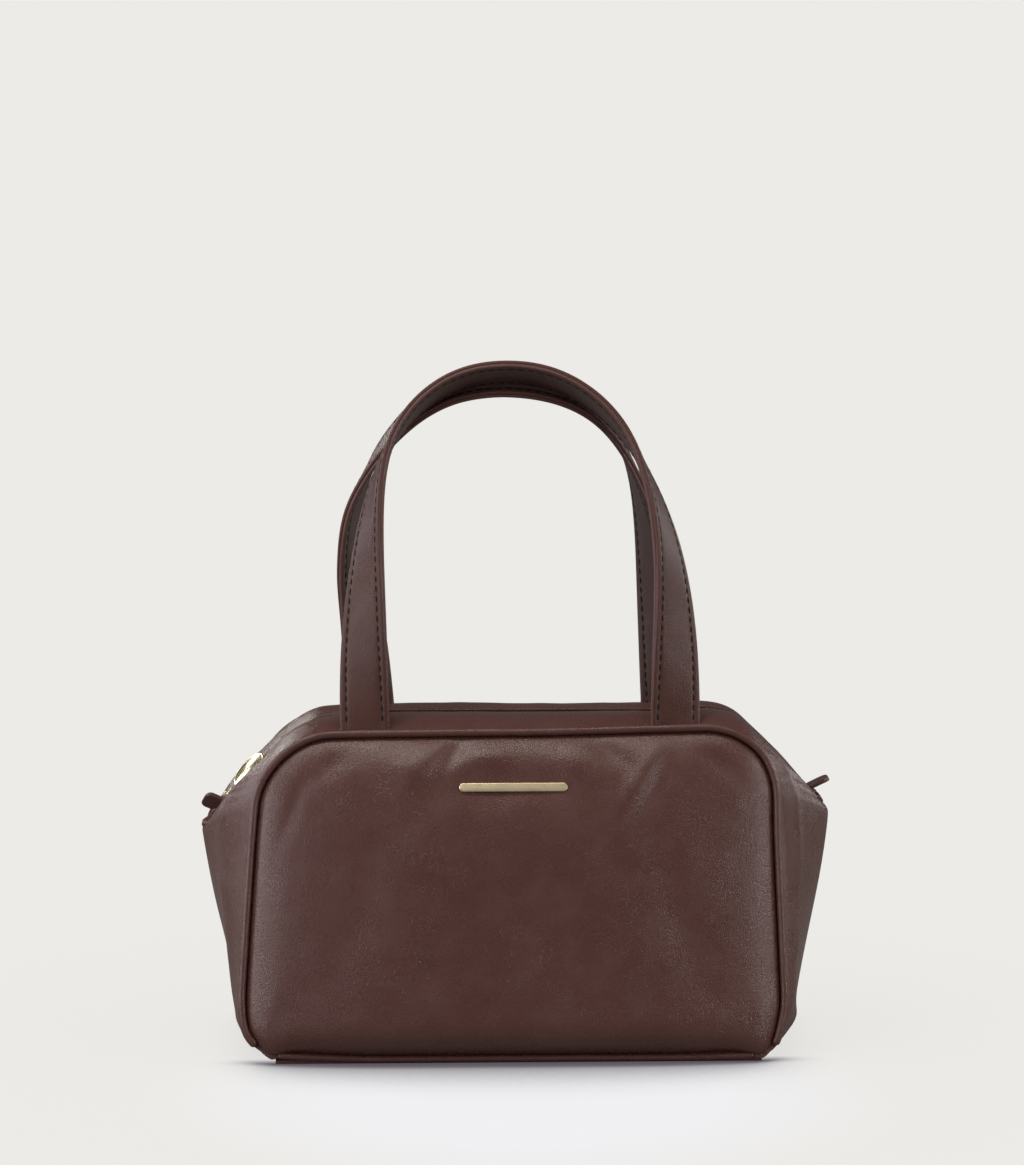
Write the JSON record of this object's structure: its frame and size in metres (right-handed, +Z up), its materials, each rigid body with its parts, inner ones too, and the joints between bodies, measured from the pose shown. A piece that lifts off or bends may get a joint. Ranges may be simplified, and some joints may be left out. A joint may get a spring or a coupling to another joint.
{
  "type": "top handle bag",
  "caption": "Small leather top handle bag with a trapezium body, piped seams, a sunken top zip down both shoulders, a disc pull and two flat turned straps.",
  "frame": {"origin": "centre of the base, on the ground the bag stands on", "axes": "+X to the right as seen from the front, the front faces -Y, +Z up"},
  "size_m": [0.261, 0.1172, 0.286],
  "materials": {
    "body_leather": "dark chocolate brown smooth leather with a soft satin sheen",
    "piping_leather": "dark chocolate brown smooth leather, pulled tight over the cord",
    "strap_leather": "dark chocolate brown smooth leather with stitched edges",
    "backing_leather": "dark chocolate brown leather, a little more matte",
    "strap_webbing": "woven webbing, hidden between the leathers",
    "filler_cord": "twisted cotton filler cord, hidden",
    "lining_cloth": "plain tan lining cloth",
    "stiff_board": "stiff fibre board",
    "zip_tape": "dark brown woven zip tape",
    "zip_metal": "pale gold plated zip metal",
    "pale_gold": "polished pale gold plating"
  },
  "bodies": {
    "bag": {"front_panel": "body_leather", "rear_panel": "body_leather", "front_piping": "piping_leather", "rear_piping": "piping_leather", "front_piping_cord": "filler_cord", "rear_piping_cord": "filler_cord", "front_gusset_strip": "body_leather", "rear_gusset_strip": "body_leather", "base_panel": "body_leather", "base_board": "stiff_board", "front_lining": "lining_cloth", "rear_lining": "lining_cloth", "front_gusset_lining": "lining_cloth", "rear_gusset_lining": "lining_cloth", "base_lining": "lining_cloth", "slip_pocket": "lining_cloth", "front_zip_tape": "zip_tape", "rear_zip_tape": "zip_tape", "front_zip_teeth": "zip_metal", "rear_zip_teeth": "zip_metal", "zip_stops": "zip_metal", "left_end_tab": "body_leather", "right_end_tab": "body_leather", "front_handle_roots": "strap_leather", "rear_handle_roots": "strap_leather", "front_bar": "pale_gold"},
    "front_handle": {"front_handle": "strap_leather", "front_handle_core": "strap_webbing", "front_handle_backing": "backing_leather"},
    "rear_handle": {"rear_handle": "strap_leather", "rear_handle_core": "strap_webbing", "rear_handle_backing": "backing_leather"},
    "zip_slider": {"zip_slider": "pale_gold", "zip_slider_back": "pale_gold"},
    "zip_link": {"zip_pull_link": "pale_gold"},
    "zip_disc": {"zip_pull_disc": "pale_gold"}
  },
  "joints": [
    {"name": "front_handle_fold", "type": "hinge", "parent": "bag", "child": "front_handle", "pos_m": [0, -0.0353, 0.1325], "axis": [1, 0, 0], "range_deg": [0, 150]},
    {"name": "rear_handle_fold", "type": "hinge", "parent": "bag", "child": "rear_handle", "pos_m": [0, 0.0353, 0.1325], "axis": [1, 0, 0], "range_deg": [-150, 0]},
    {"name": "zip_slider_travel", "type": "slide", "parent": "bag", "child": "zip_slider", "axis": [0.6826, 0, 0.7308], "range_m": [0, 0.03]},
    {"name": "zip_link_swing", "type": "hinge", "parent": "zip_slider", "child": "zip_link", "pos_m": [-0.11949, 0, 0.10255], "axis": [0, -1, 0], "range_deg": [0, 115]},
    {"name": "zip_disc_swing", "type": "hinge", "parent": "zip_link", "child": "zip_disc", "pos_m": [-0.11717, 0, 0.10504], "axis": [0, -1, 0], "range_deg": [0, 30]}
  ]
}
